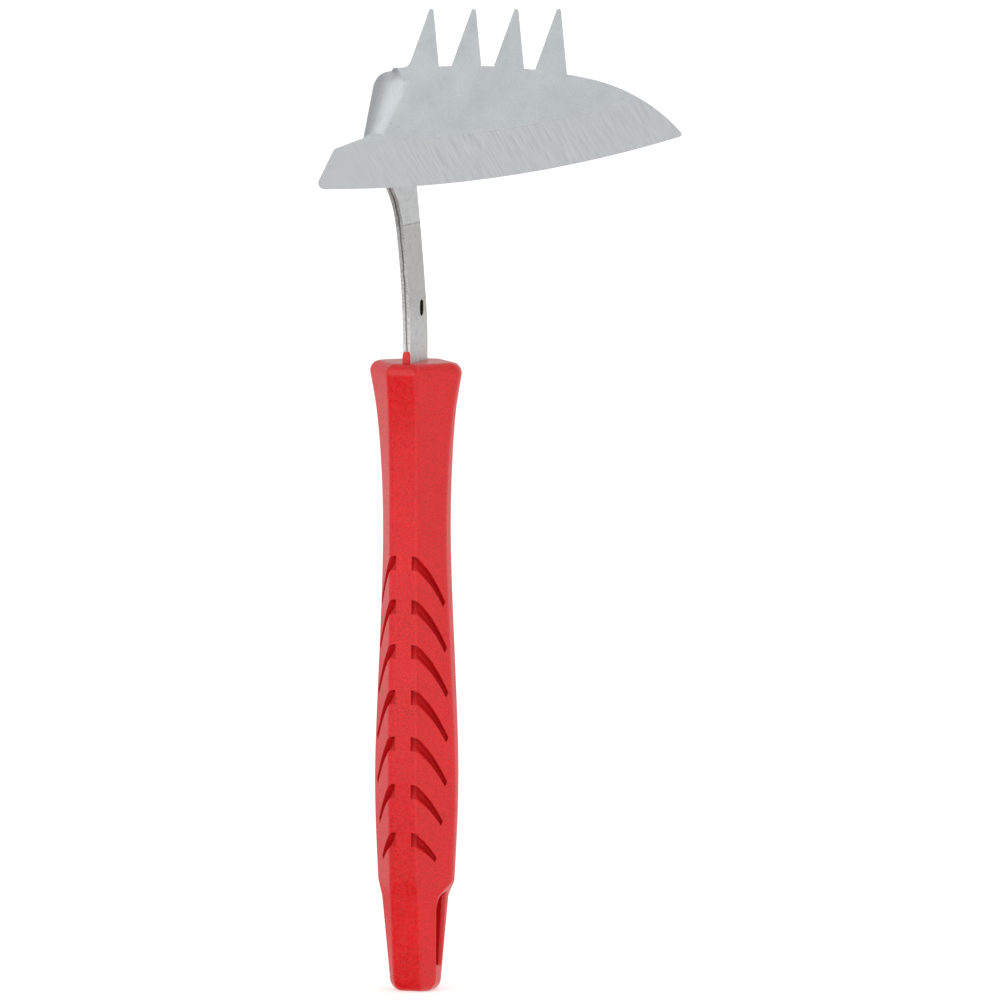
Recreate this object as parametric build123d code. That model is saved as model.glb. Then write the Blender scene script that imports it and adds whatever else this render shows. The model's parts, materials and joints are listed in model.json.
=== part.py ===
"""Hive tool: a steel head pressed and bent from one sheet, in a plastic handle moulded round its tang.

The handle's length runs along Z with the blade end up, and -Y is the front, where the blade stands.
The neck lies in the YZ plane and the blade reaches out to +X. The origin is the middle of the hanging
slot. Heights inside this file are measured from the butt of the handle, in millimetres.
"""
from build123d import *

import os
from dataclasses import dataclass
from math import asin, atan2, cos, degrees, radians, sin, tan

# ---- Sheet steel head -------------------------------------------------------------------------
SHEET = 2.5                # thickness of the one sheet that blade, neck and tang are cut from
BLADE_SWEEP = 22.0         # degrees that the blade's free end is swept back from the X axis
BLADE_TILT = 6.0           # degrees that the blade's face leans up from upright
BLADE_STANDOFF = 46.0      # from the handle's axis to the blade's front face, along its normal
NECK_RISE = 53.4           # from the handle's top face to the foot of that normal

HEEL_REACH = 31.5          # heel's lower corner, left of the axis
HEEL_CORNER = (-25.4, 12.5)  # heel's upper corner, across and up from the cutting edge's level
HEEL_LOW_RADIUS = 2.0
HEEL_TOP_RADIUS = 1.4
RELIEF_FOOT = (-16.3, 15.9)  # foot of the relief cut, where the bend leaves the heel
RELIEF_TOP = (-14.2, 17.4)   # end of the relief cut
EDGE_FLAT_END = 27.0       # the cutting edge is straight from the heel to here, left of the axis
TIP_REACH = 83.4           # blade's pointed end, right of the axis
TIP_RISE = 16.7            # the tip's height above the heel's end of the edge
TIP_RADIUS = 0.9
BACK_ARC_START = (52.4, 34.7)  # where the crown turns into the curve down to the tip
BACK_ARC_BULGE = 3.1       # how far that curve stands off its chord
CROWN_TOP = (15.0, 38.4)   # highest point of the crown that the teeth stand on
CROWN_BULGE = 0.95         # how far the crown's arc stands off its chord
GRIND_WIDTH = 14.3         # width of the ground bevel
EDGE_LEFT = 0.3            # steel left at the cutting edge

TOOTH_COUNT = 4
TOOTH_PITCH = 13.2
TOOTH_WIDTH = 9.3          # at the root line
TOOTH_LENGTH = 20.4        # root line to the point where the two flanks would meet
TOOTH_TIP_RADIUS = 0.75
LAST_TOOTH_END = 46.8      # right root corner of the last tooth
TOOTH_ROOT = 38.3          # level of the root line
TOOTH_LONG_FLANK = 19.9    # degrees off square, on the side towards the bend
TOOTH_SHORT_FLANK = 5.4    # degrees off square, on the side towards the tip
FIRST_TOOTH_FILLET = 3.0

BEND_FOOT = (16.0, 5.9)    # level on the blade and outer radius, at the relief cut
BEND_WIDE = (34.1, 11.4)   # where the bend is widest
BEND_TOP = (39.6, 8.3)     # above the crown
CORNER_TOP = 37.8          # level of the top edge over the bend
CORNER_SIDE = 12.9         # left of the axis, where the rounded corner ends
CORNER_RADIUS = 4.0

NECK_FRONT = 7.9           # front edge of the neck at the handle, ahead of the axis
NECK_REAR = 6.4            # rear edge there, behind the axis
NECK_STRAIGHT = 6.0        # straight stretch above the handle
NECK_FRONT_CURVE = ((-9.5, 24.0), (-12.9, 40.5), (-16.9, 50.3))   # Y and height above the handle
NECK_FRONT_END = (-21.6, 55.8)
NECK_REAR_CURVE = ((4.3, 24.4), (0.3, 43.7))
NECK_REAR_SLOPE = 0.235    # forward lean of the rear edge, per millimetre up
NECK_REAR_TOP = 68.0       # height above the handle where the web's top edge starts
WEB_TOP_ANGLE = 37.0       # degrees that the web's top edge climbs towards the bend
WEB_TOP_RADIUS = 20.0
PILOT_WIDTH = 2.5          # oblong pilot hole punched through the neck
PILOT_LENGTH = 5.0
PILOT_AT = (1.5, 16.7)     # Y and height above the handle

TANG_LENGTH = 120.0
TANG_END_WIDTH = 9.5
TANG_MIDDLE = -0.75        # Y of the tang's middle line
TANG_HOLE_RADIUS = 2.6     # plastic runs through these holes and locks the tang
TANG_HOLES = (36.0, 86.0)  # depths below the handle's top face

# ---- Handle -----------------------------------------------------------------------------------
HANDLE_LENGTH = 198.0
FACET_HALF = 4.8           # half width of the flat ridge along the front, and of the back's
RIDGE_RADIUS = 2.4         # rounding along the ridge's two edges
SIDE_RADIUS = 3.0          # rounding along the widest line
SIDE_FRONT = -1.6          # Y where the front flank meets the side
RIM_RADIUS = 3.5
TAIL_HEIGHT = 30.0         # butt to the shoulder under the grip
SHOULDER_HEIGHT = 34.5     # where the full grip starts
BUTT_HEIGHT = 4.2          # height of the rounded butt end
BUTT_FRONT_INSET = 2.6
BUTT_SIDE_INSET = 3.6
BUTT_BACK_INSET = 4.0
LEAST_RADIUS = 0.6         # edges of the drawn-in ends are never sharper than this
NEAR = 0.01                # two coordinates closer than this are the same
TAIL_SIDE_RADIUS = 1.6
TAIL_RIDGE_RADIUS = 2.2

SLOT_TOP = 31.2            # hanging slot through the tail, from side to side
SLOT_FOOT = 8.3
SLOT_REAR = 0.4
SLOT_FRONT_TOP = -5.9
SLOT_FRONT_FOOT = -3.3
SLOT_TOP_RADIUS = 5.6
SLOT_FOOT_RADIUS = 1.2
SLOT_MIDDLE = 20.5         # the row's origin, in the middle of the slot

GROOVE_TOP = 137.7         # height of the first groove's upper corner
GROOVE_PITCH = 13.75       # first step down, which grows by GROOVE_SPREAD each time
GROOVE_SPREAD = 0.3
GROOVE_DEPTH = 1.3
SPINE_HALF = 2.6           # half width of the uncut spine between the grooves
GROOVE_START = 4.5         # height of a groove's blunt inner end
GROOVE_ENDS = (            # X of each groove's outer end, and how far the groove falls to it
    (10.8, 16.4), (11.4, 17.0), (11.9, 17.0), (12.1, 16.8), (11.9, 16.0), (10.8, 13.4), (9.2, 9.6),
)
GROOVE_TIP = (0.6, 1.5)    # the outer end is cut off slanting: this much in, and this much down

LIP_HEIGHT = 3.6           # small lip of plastic that creeps up the neck's front edge
LIP_THICK = 0.8

AXIS_HEIGHT = HANDLE_LENGTH + NECK_RISE


@dataclass(frozen=True)
class Section:
    """One cross-section of the handle, a rounded octagon that is the same left and right."""

    height: float
    half_width: float
    front: float
    back: float
    side_front: float
    side_back: float
    ridge_radius: float = RIDGE_RADIUS
    side_radius: float = SIDE_RADIUS
    facet_half: float = FACET_HALF

    def inset(self, height: float, front: float, side: float, back: float) -> "Section":
        """The same section at another height, drawn in by three distances."""
        return Section(height, self.half_width - side, self.front - front, self.back - back,
                       self.side_front, self.side_back,
                       max(self.ridge_radius - front, LEAST_RADIUS),
                       max(self.side_radius - side, LEAST_RADIUS), self.facet_half - side / 2)

    def face(self) -> Face:
        """The section as a flat face at its height."""
        right = [(self.facet_half, -self.front), (self.half_width, self.side_front),
                 (self.half_width, self.side_back), (self.facet_half, self.back)]
        left = [(-x, y) for x, y in reversed(right)]
        outline = Polyline(*right, *left, close=True)
        flat = make_face(outline)
        ridge = [v for v in flat.vertices() if abs(abs(v.X) - self.facet_half) < NEAR]
        flat = fillet(ridge, self.ridge_radius)
        side = [v for v in flat.vertices() if abs(abs(v.X) - self.half_width) < NEAR]
        flat = fillet(side, self.side_radius)
        return (Pos(0, 0, self.height) * flat).face()


# The grip from its shoulder to its flared rim. The swell for the palm is low down, the waist high.
GRIP = (
    Section(SHOULDER_HEIGHT, 12.5, 10.2, 10.6, SIDE_FRONT, 1.4),
    Section(66.0, 13.6, 11.2, 12.4, SIDE_FRONT, 2.1),
    Section(91.0, 12.8, 11.0, 12.2, SIDE_FRONT, 2.7),
    Section(120.0, 11.4, 10.5, 11.6, SIDE_FRONT, 2.9),
    Section(147.0, 10.75, 10.2, 11.0, SIDE_FRONT, 2.7),
    Section(HANDLE_LENGTH - 25.5, 11.9, 10.6, 11.2, SIDE_FRONT, 2.1),
    Section(HANDLE_LENGTH - 13.0, 13.35, 11.4, 12.0, SIDE_FRONT, 1.5),
    Section(HANDLE_LENGTH - RIM_RADIUS, 15.2, 12.7, 13.2, SIDE_FRONT, 1.2),
)
TAIL = (
    Section(TAIL_HEIGHT, 9.4, 9.6, 9.4, -5.9, 3.9, TAIL_RIDGE_RADIUS, TAIL_SIDE_RADIUS),
    Section(BUTT_HEIGHT, 7.8, 7.3, 6.9, -3.2, 1.4, TAIL_RIDGE_RADIUS, TAIL_SIDE_RADIUS),
)
ROUND_STEPS = (0.0, 30.0, 60.0, 90.0)


def blade_plane() -> Plane:
    """The blade's front face: x across to the tip, y up the blade, z out of its face."""
    sweep = radians(BLADE_SWEEP)
    tilt = radians(BLADE_TILT)
    normal = Vector(sin(sweep) * cos(tilt), -cos(sweep) * cos(tilt), sin(tilt))
    across = Vector(cos(sweep), sin(sweep), 0)
    return Plane(Vector(0, 0, AXIS_HEIGHT) + normal * BLADE_STANDOFF, x_dir=across, z_dir=normal)


BLADE = blade_plane()
FOLD = Vector(1, 0, 0).cross(BLADE.z_dir).normalized()
FOLD = FOLD if FOLD.Z > 0 else -FOLD
FOLD_BACK = FOLD.cross(Vector(1, 0, 0))
FOLD_TURN = 180 - degrees(asin(BLADE.z_dir.cross(Vector(1, 0, 0)).length))
TANGENT = 1 / tan(radians((180 - FOLD_TURN) / 2))


def fold_corner(level: float) -> Vector:
    """Where the neck's left face and the blade's front face would meet, at a level on the blade."""
    base = BLADE.origin + BLADE.y_dir * level
    return base + BLADE.x_dir * ((-SHEET / 2 - base.X) / BLADE.x_dir.X)


def fold_on_blade(level: float, radius: float) -> tuple:
    """Blade coordinates of the point where the bend runs out into the flat blade."""
    across = FOLD.cross(BLADE.z_dir)
    across = across if across.X > 0 else -across
    local = BLADE.to_local_coords(fold_corner(level) + across * (radius * TANGENT))
    return (local.X, local.Y)


def fold_on_web(level: float, radius: float) -> tuple:
    """Y and Z of the point where the bend runs out into the flat neck."""
    point = fold_corner(level) + FOLD_BACK * (radius * TANGENT)
    return (point.Y, point.Z)


def bend_face(level: float, radius: float) -> Face:
    """Section of the bend, square to the fold line."""
    centre = (radius, radius * TANGENT)
    outer = CenterArc(centre, radius, 180, FOLD_TURN)
    inner = CenterArc(centre, radius - SHEET, 180, FOLD_TURN)
    ends = [Line(outer @ 0, inner @ 0), Line(outer @ 1, inner @ 1)]
    plane = Plane(fold_corner(level), x_dir=(1, 0, 0), z_dir=FOLD)
    return (plane * make_face(Curve() + [outer, inner, *ends])).face()


def tooth(right: float) -> Sketch:
    """One tooth whose right root corner is at `right`; its foot runs on into the blade."""
    long_side = tan(radians(TOOTH_LONG_FLANK))
    short_side = tan(radians(TOOTH_SHORT_FLANK))
    foot = 4.0
    low = TOOTH_ROOT - foot
    apex = (right - TOOTH_LENGTH * short_side, TOOTH_ROOT + TOOTH_LENGTH)
    outline = Polyline((right - TOOTH_WIDTH - foot * long_side, low), apex,
                       (right + foot * short_side, low), close=True)
    shape = make_face(outline)
    return fillet(shape.vertices().sort_by(Axis.Y)[-1], TOOTH_TIP_RADIUS)


def blade_flat() -> Sketch:
    """Outline of the flat part of the blade, teeth included."""
    edge = TangentArc((-EDGE_FLAT_END, 0), (TIP_REACH, TIP_RISE), tangent=(1, 0))
    back = bulged_arc((TIP_REACH, TIP_RISE), BACK_ARC_START, BACK_ARC_BULGE)
    crown = bulged_arc(BACK_ARC_START, CROWN_TOP, CROWN_BULGE)
    crown_left = bend_side(CORNER_TOP)
    relief_start = fold_on_blade(RELIEF_TOP[1], bend_radius(RELIEF_TOP[1]))
    left = Polyline(CROWN_TOP, crown_left, fold_on_blade(*BEND_WIDE), relief_start, RELIEF_TOP, RELIEF_FOOT,
                    HEEL_CORNER, (-HEEL_REACH, 0), (-EDGE_FLAT_END, 0))
    shape = make_face(Curve() + [edge, back, crown, left])
    for i in range(TOOTH_COUNT):
        shape += tooth(LAST_TOOTH_END - i * TOOTH_PITCH)
    shape = round_corner(shape, (-HEEL_REACH, 0), HEEL_LOW_RADIUS)
    shape = round_corner(shape, HEEL_CORNER, HEEL_TOP_RADIUS)
    shape = round_corner(shape, (TIP_REACH, TIP_RISE), TIP_RADIUS)
    first = LAST_TOOTH_END - (TOOTH_COUNT - 1) * TOOTH_PITCH - TOOTH_WIDTH
    return round_corner(shape, (first, CORNER_TOP), FIRST_TOOTH_FILLET)


def bulged_arc(start: tuple, end: tuple, bulge: float) -> Edge:
    """An arc that stands above its chord by `bulge`."""
    chord = Vector(*end) - Vector(*start)
    square = Vector(-chord.Y, chord.X).normalized()
    square = square if square.Y > 0 else -square
    return ThreePointArc(start, Vector(*start) + chord * 0.5 + square * bulge, end)


def bend_side(level: float) -> Vector:
    """Where the bend's straight side above its widest level crosses a level of the blade."""
    wide = Vector(*fold_on_blade(*BEND_WIDE))
    above = Vector(*fold_on_blade(*BEND_TOP))
    return wide + (above - wide) * ((level - wide.Y) / (above.Y - wide.Y))


def bend_radius(level: float) -> float:
    """Outer radius of the bend between its foot and its widest level."""
    share = (level - BEND_FOOT[0]) / (BEND_WIDE[0] - BEND_FOOT[0])
    return BEND_FOOT[1] + share * (BEND_WIDE[1] - BEND_FOOT[1])


def round_corner(shape: Sketch, near: tuple, radius: float) -> Sketch:
    """Fillet the corner of a flat outline that lies nearest to a point."""
    target = Vector(*near)
    corner = min(shape.vertices(), key=lambda v: (Vector(v.X, v.Y) - target).length)
    return fillet(corner, radius)


def grind_cutter() -> Part:
    """What the bevel's grinding takes off the front: straight along the heel, then on the edge's arc."""
    radius = (TIP_REACH + EDGE_FLAT_END) ** 2 / (2 * TIP_RISE) + TIP_RISE / 2
    slope = (SHEET - EDGE_LEFT) / GRIND_WIDTH
    past = 5.0
    start = Plane(BLADE.origin - BLADE.x_dir * EDGE_FLAT_END + BLADE.y_dir * radius,
                  x_dir=-BLADE.y_dir, z_dir=(-BLADE.y_dir).cross(BLADE.z_dir))
    inner = radius - GRIND_WIDTH
    outer = radius + past
    profile = Polyline((inner, 0), (inner, past), (outer, past),
                       (outer, -slope * (GRIND_WIDTH + past)), close=True)
    face = start * make_face(profile)
    swing = degrees(atan2(TIP_REACH + EDGE_FLAT_END + past, radius)) + 2
    along = revolve(face, Axis(start.origin, BLADE.z_dir), swing)
    heel = extrude(face, HEEL_REACH - EDGE_FLAT_END + past, dir=-BLADE.x_dir)
    return along + heel


def corner_trim() -> Part:
    """Cuts the bend's upper corner round, seen square to the blade."""
    far = 20.0
    left = -CORNER_SIDE - far
    right = fold_on_blade(*BEND_WIDE)[0]
    arc_low = (-CORNER_SIDE, CORNER_TOP - CORNER_RADIUS)
    arc_high = (-CORNER_SIDE + CORNER_RADIUS, CORNER_TOP)
    arc = CenterArc((arc_high[0], arc_low[1]), CORNER_RADIUS, 90, 90)
    rest = Polyline(arc_high, (right, CORNER_TOP), (right, CORNER_TOP + far),
                    (left, CORNER_TOP + far), (left, arc_low[1]), arc_low)
    return extrude(BLADE * make_face(Curve() + [arc, rest]), far, both=True)


def web_top_line() -> list:
    """The web's rear corner and two points of its climbing top edge, as Y and Z."""
    rear_y = NECK_REAR_CURVE[-1][0] - NECK_REAR_SLOPE * (NECK_REAR_TOP - NECK_REAR_CURVE[-1][1])
    corner = (rear_y, HANDLE_LENGTH + NECK_REAR_TOP)
    reach = 50.0
    climb = radians(WEB_TOP_ANGLE)
    high = (rear_y - reach * cos(climb), corner[1] + reach * sin(climb))
    return [corner, high]


def web_trim() -> Part:
    """Takes off everything above the web's climbing top edge, on the neck's side of the bend."""
    corner, high = web_top_line()
    far = 40.0
    shape = make_face(Polyline(corner, high, (far, high[1]), (far, corner[1] - far),
                               (corner[0] + far * NECK_REAR_SLOPE, corner[1] - far), close=True))
    shape = round_corner(shape, corner, WEB_TOP_RADIUS)
    reach_right = 7.0
    return Pos(reach_right, 0, 0) * extrude(Plane.YZ * shape, -reach_right - SHEET)


def web_plate() -> Part:
    """The neck and the web behind the blade, flat in the YZ plane, down to the handle."""
    top = HANDLE_LENGTH
    foot = fold_on_web(*BEND_FOOT)
    wide = fold_on_web(*BEND_WIDE)
    above = fold_on_web(*BEND_TOP)
    end = (NECK_FRONT_END[0], top + NECK_FRONT_END[1])
    front = [(y, top + z) for y, z in NECK_FRONT_CURVE]
    rear = [(y, top + z) for y, z in NECK_REAR_CURVE]
    corner, _ = web_top_line()
    climb = (foot[0] - end[0], foot[1] - end[1])
    front_curve = Spline((-NECK_FRONT, top + NECK_STRAIGHT), *front, end, tangents=[(0, 1), climb])
    rear_curve = Spline((NECK_REAR, top + NECK_STRAIGHT), *rear,
                        tangents=[(0, 1), (-NECK_REAR_SLOPE, 1)])
    above_rear = (rear[-1][0] - NECK_REAR_SLOPE * (above[1] - rear[-1][1]), above[1])
    outline = Curve() + [
        Line((NECK_REAR, top), (-NECK_FRONT, top)),
        Line((-NECK_FRONT, top), (-NECK_FRONT, top + NECK_STRAIGHT)),
        front_curve,
        Polyline(end, foot, wide, above, above_rear, rear[-1]),
        rear_curve,
        Line((NECK_REAR, top + NECK_STRAIGHT), (NECK_REAR, top)),
    ]
    plate = extrude(Plane.YZ * make_face(outline), SHEET / 2, both=True)
    pilot = Pos(PILOT_AT[0], top + PILOT_AT[1]) * SlotOverall(PILOT_LENGTH, PILOT_WIDTH, 90)
    return plate - extrude(Plane.YZ * pilot, SHEET, both=True)


def tang() -> Part:
    """The part of the strip that the handle is moulded round, tapered, with two locking holes."""
    top = HANDLE_LENGTH
    low = top - TANG_LENGTH
    half = TANG_END_WIDTH / 2
    outline = Polyline((-NECK_FRONT, top), (NECK_REAR, top), (TANG_MIDDLE + half, low),
                       (TANG_MIDDLE - half, low), close=True)
    shape = make_face(outline)
    shape = fillet(shape.vertices().sort_by(Axis.Y)[:2], half / 2)
    for depth in TANG_HOLES:
        shape -= Pos(TANG_MIDDLE, top - depth) * Circle(TANG_HOLE_RADIUS)
    return extrude(Plane.YZ * shape, SHEET / 2, both=True)


def steel_head() -> Part:
    """Blade, bend, neck and tang: one pressed and bent piece of sheet."""
    flat = extrude(BLADE * blade_flat(), -SHEET)
    bend = loft([bend_face(*BEND_FOOT), bend_face(*BEND_WIDE), bend_face(*BEND_TOP)], ruled=True)
    bend -= corner_trim()
    bend -= web_trim()
    web = web_plate() - web_trim()
    return flat - grind_cutter() + bend + web + tang()


def rim_sections() -> list:
    """Sections of the flared end's rounded rim."""
    rim = GRIP[-1]
    steps = [(RIM_RADIUS * (1 - cos(radians(a))), RIM_RADIUS * sin(radians(a))) for a in ROUND_STEPS]
    return [rim.inset(rim.height + up, drawn, drawn, drawn) for drawn, up in steps]


def butt_sections() -> list:
    """Sections of the rounded butt end, which is drawn in most at the back."""
    last = TAIL[-1]
    steps = [(1 - cos(radians(a)), 1 - sin(radians(a))) for a in ROUND_STEPS]
    return [last.inset(BUTT_HEIGHT * up, BUTT_FRONT_INSET * drawn, BUTT_SIDE_INSET * drawn,
                       BUTT_BACK_INSET * drawn) for drawn, up in steps]


def skin(sections, ruled: bool = False) -> Part:
    """A solid through a run of sections."""
    return loft([s.face() for s in sections], ruled=ruled)


def groove_outline(top: float, reach: float, drop: float) -> Sketch:
    """One claw-shaped groove right of the spine, seen from the front, as X and height."""
    across = reach - SPINE_HALF
    end = (reach, top - drop + GROOVE_TIP[1])
    tip = (reach - GROOVE_TIP[0], top - drop)
    upper_middle = (SPINE_HALF + 0.55 * across, top - 0.34 * (drop - GROOVE_TIP[1]))
    lower_middle = (SPINE_HALF + 0.5 * across, top - 0.5 * max(drop, 2.4 * GROOVE_START))
    upper = Spline((SPINE_HALF, top), upper_middle, end, tangents=[(1, 0), (0.3, -1)])
    lower = Spline(tip, lower_middle, (SPINE_HALF, top - GROOVE_START), tangents=[(-0.3, 1), (-1, 0)])
    ends = [Line(end, tip), Line((SPINE_HALF, top - GROOVE_START), (SPINE_HALF, top))]
    return make_face(Curve() + [upper, lower, *ends])


def groove_cutters() -> list:
    """All the grooves, left and right, each as deep as the gap between the grip and a core."""
    core = skin([s.inset(s.height, GROOVE_DEPTH, GROOVE_DEPTH, GROOVE_DEPTH) for s in GRIP])
    cutters = []
    top = GROOVE_TOP
    for i, (reach, drop) in enumerate(GROOVE_ENDS):
        sketch = Plane.XZ * groove_outline(top, reach, drop)
        right = extrude(sketch, GRIP[1].front + 5.0) - core
        cutters += [right, mirror(right, Plane.YZ)]
        top -= GROOVE_PITCH + i * GROOVE_SPREAD
    return cutters


def hanging_slot() -> Part:
    """The slot through the tail, wide at the top with one big round corner."""
    shape = make_face(Polyline((SLOT_REAR, SLOT_FOOT), (SLOT_REAR, SLOT_TOP),
                               (SLOT_FRONT_TOP, SLOT_TOP), (SLOT_FRONT_FOOT, SLOT_FOOT), close=True))
    shape = round_corner(shape, (SLOT_FRONT_TOP, SLOT_TOP), SLOT_TOP_RADIUS)
    shape = round_corner(shape, (SLOT_REAR, SLOT_FOOT), SLOT_FOOT_RADIUS)
    shape = round_corner(shape, (SLOT_FRONT_FOOT, SLOT_FOOT), SLOT_FOOT_RADIUS)
    return extrude(Plane.YZ * shape, GRIP[1].half_width * 2, both=True)


def handle() -> Part:
    """Grip, shoulder, tail and butt in one moulding, with its slot, grooves and the tang's pocket."""
    body = skin(GRIP) + skin(rim_sections())
    body += skin([GRIP[0], TAIL[0]], ruled=True) + skin(TAIL, ruled=True) + skin(butt_sections())
    for cutter in groove_cutters():
        body -= cutter
    body -= hanging_slot()
    lip = Box(SHEET, LIP_THICK, LIP_HEIGHT, align=(Align.CENTER, Align.MAX, Align.MIN))
    body += Pos(0, -NECK_FRONT, HANDLE_LENGTH) * lip
    return body - tang()


def main() -> None:
    """Build every node and write it, with the slot's middle at the origin."""
    os.makedirs("parts", exist_ok=True)
    place = Pos(0, 0, -SLOT_MIDDLE)
    for node, shape in {"steel_head": steel_head(), "handle": handle()}.items():
        export_step(place * shape, f"parts/{node}.step")


if __name__ == "__main__":
    main()
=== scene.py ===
"""A hive tool: a toothed steel scraper head in a grooved red handle, standing in a pale studio.

Sizes inside the classes are millimetres. Heights are measured up from the butt of the handle, X and Y
from its axis, and everything is turned to the frame's metres on its way into a mesh.
"""

import json
import logging
import math
from dataclasses import dataclass, field
from enum import Enum
from typing import Any, Sequence

import bmesh
import bpy
import numpy as np
from mathutils import Matrix, Vector


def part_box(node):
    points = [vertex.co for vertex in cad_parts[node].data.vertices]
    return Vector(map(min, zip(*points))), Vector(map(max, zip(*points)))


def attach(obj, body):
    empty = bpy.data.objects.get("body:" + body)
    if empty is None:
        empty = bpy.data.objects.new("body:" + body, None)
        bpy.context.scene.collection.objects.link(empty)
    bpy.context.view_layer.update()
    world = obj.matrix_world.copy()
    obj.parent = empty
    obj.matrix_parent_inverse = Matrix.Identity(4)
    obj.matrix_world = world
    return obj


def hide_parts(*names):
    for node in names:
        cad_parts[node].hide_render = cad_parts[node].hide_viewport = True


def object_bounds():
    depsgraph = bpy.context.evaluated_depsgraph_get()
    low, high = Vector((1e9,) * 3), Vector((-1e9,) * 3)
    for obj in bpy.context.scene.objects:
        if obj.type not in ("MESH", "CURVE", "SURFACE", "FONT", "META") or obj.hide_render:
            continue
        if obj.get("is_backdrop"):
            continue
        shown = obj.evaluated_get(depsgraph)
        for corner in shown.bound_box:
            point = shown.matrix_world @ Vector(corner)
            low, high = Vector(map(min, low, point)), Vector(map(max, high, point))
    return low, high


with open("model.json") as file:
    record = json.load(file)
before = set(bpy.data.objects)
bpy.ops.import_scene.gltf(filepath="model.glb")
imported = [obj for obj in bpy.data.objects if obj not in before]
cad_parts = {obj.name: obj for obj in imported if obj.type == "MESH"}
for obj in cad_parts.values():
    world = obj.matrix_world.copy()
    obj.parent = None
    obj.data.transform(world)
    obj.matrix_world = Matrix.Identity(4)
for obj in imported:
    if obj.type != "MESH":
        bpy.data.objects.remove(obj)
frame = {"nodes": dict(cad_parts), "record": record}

LOG = logging.getLogger("hive_tool")
MM = 0.001
NECK_RISE = 53.4                 # from the handle's top face up to the level of the blade's own axes
PILOT_HOLE = (1.5, -36.7)        # Y, and level from the blade's axes, of the hole punched in the neck
PILOT_HOLE_REACH = (1.5, 2.8)    # half its width and half its height, with room for the softened rim
FINISH_BORDER = 0.08             # radians between two finishes from which their border stays a crease
Point = tuple[float, float]
EASED = {"interpolation_type": "SMOOTHSTEP"}     # a map range node whose ends are eased


class SteelZone(Enum):
    """The differently made surfaces of the steel head, each with its own finish."""

    ROLLED = 0
    GROUND = 1
    SHEARED = 2
    FORMED = 3
    SCALE = 4
    PUNCHED = 5


class Side(Enum):
    """Left and right of the handle's spine, as the sign of X."""

    RIGHT = 1
    LEFT = -1


# ---- Small helpers ----------------------------------------------------------------------------
def linear(colour: str, alpha: float = 1.0) -> tuple[float, float, float, float]:
    """Turn an sRGB hex colour into linear values.

    Args:
        colour: Six hex digits after a hash sign.
        alpha: Fourth value of the result.

    Returns:
        Linear red, green and blue, and alpha.
    """
    channels = [int(colour[i:i + 2], 16) / 255 for i in (1, 3, 5)]
    out = [c / 12.92 if c <= 0.04045 else ((c + 0.055) / 1.055) ** 2.4 for c in channels]
    return (out[0], out[1], out[2], alpha)


def per_mm(size: float) -> float:
    """Texture scale, in features per metre, of a pattern whose features are `size` millimetres."""
    return 1 / (size * MM)


def spline(places: Sequence[float], values: np.ndarray, wanted: np.ndarray) -> np.ndarray:
    """Natural cubic spline through rows of values.

    Args:
        places: Increasing positions of the known rows.
        values: One row per position.
        wanted: Positions to read the spline at.

    Returns:
        One row for each wanted position.
    """
    x = np.asarray(places, float)
    y = np.asarray(values, float).reshape(len(x), -1)
    gap = np.diff(x)
    count = len(x)
    system = np.eye(count)
    right = np.zeros_like(y)
    for i in range(1, count - 1):
        system[i, i - 1:i + 2] = gap[i - 1], 2 * (gap[i - 1] + gap[i]), gap[i]
        right[i] = 6 * ((y[i + 1] - y[i]) / gap[i] - (y[i] - y[i - 1]) / gap[i - 1])
    curve = np.linalg.solve(system, right)
    at = np.clip(np.searchsorted(x, wanted) - 1, 0, count - 2)
    a = ((x[at + 1] - wanted) / gap[at])[:, None]
    b = 1 - a
    bend = ((a ** 3 - a) * curve[at] + (b ** 3 - b) * curve[at + 1]) * (gap[at][:, None] ** 2) / 6
    return a * y[at] + b * y[at + 1] + bend


def rounded(corners: Sequence[Point], radii: Sequence[float], straights: Sequence[int],
            arc: int) -> np.ndarray:
    """A path through corners, each inner corner rounded, always with the same count of points.

    Args:
        corners: The path's corners; the first and last are its ends.
        radii: Radius at each inner corner.
        straights: Spans that each straight run is divided into.
        arc: Spans that each rounding is divided into.

    Returns:
        Points of the path, one row each.
    """
    at = [np.array(c, float) for c in corners]
    start = at[0]
    out = [start[None, :]]
    for i, radius in enumerate(radii, 1):
        back = (at[i - 1] - at[i]) / np.linalg.norm(at[i - 1] - at[i])
        on = (at[i + 1] - at[i]) / np.linalg.norm(at[i + 1] - at[i])
        half = math.acos(float(np.clip(back @ on, -1, 1))) / 2
        reach = radius / math.tan(half)
        middle = at[i] + (back + on) / np.linalg.norm(back + on) * radius / math.sin(half)
        first, last = at[i] + back * reach, at[i] + on * reach
        out.append(np.linspace(start, first, straights[i - 1] + 1)[1:])
        turn = math.pi / 2 - half
        inward = -(back + on) / np.linalg.norm(back + on)
        square = first - middle - inward * float((first - middle) @ inward)
        square /= np.linalg.norm(square)
        steps = np.linspace(turn, -turn, arc + 1)[1:]
        out.append(np.array([middle + radius * (inward * math.cos(s) + square * math.sin(s))
                             for s in steps]))
        start = last
    out.append(np.linspace(start, at[-1], straights[-1] + 1)[1:])
    return np.vstack(out)


def solid_object(name: str, bm: bmesh.types.BMesh) -> bpy.types.Object:
    """Turn a bmesh into a linked object and free the bmesh.

    Args:
        name: Name of the object and its mesh.
        bm: The mesh under construction; it is freed.

    Returns:
        The linked object.
    """
    mesh = bpy.data.meshes.new(name)
    bm.to_mesh(mesh)
    bm.free()
    piece = bpy.data.objects.new(name, mesh)
    bpy.context.scene.collection.objects.link(piece)
    return piece


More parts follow.
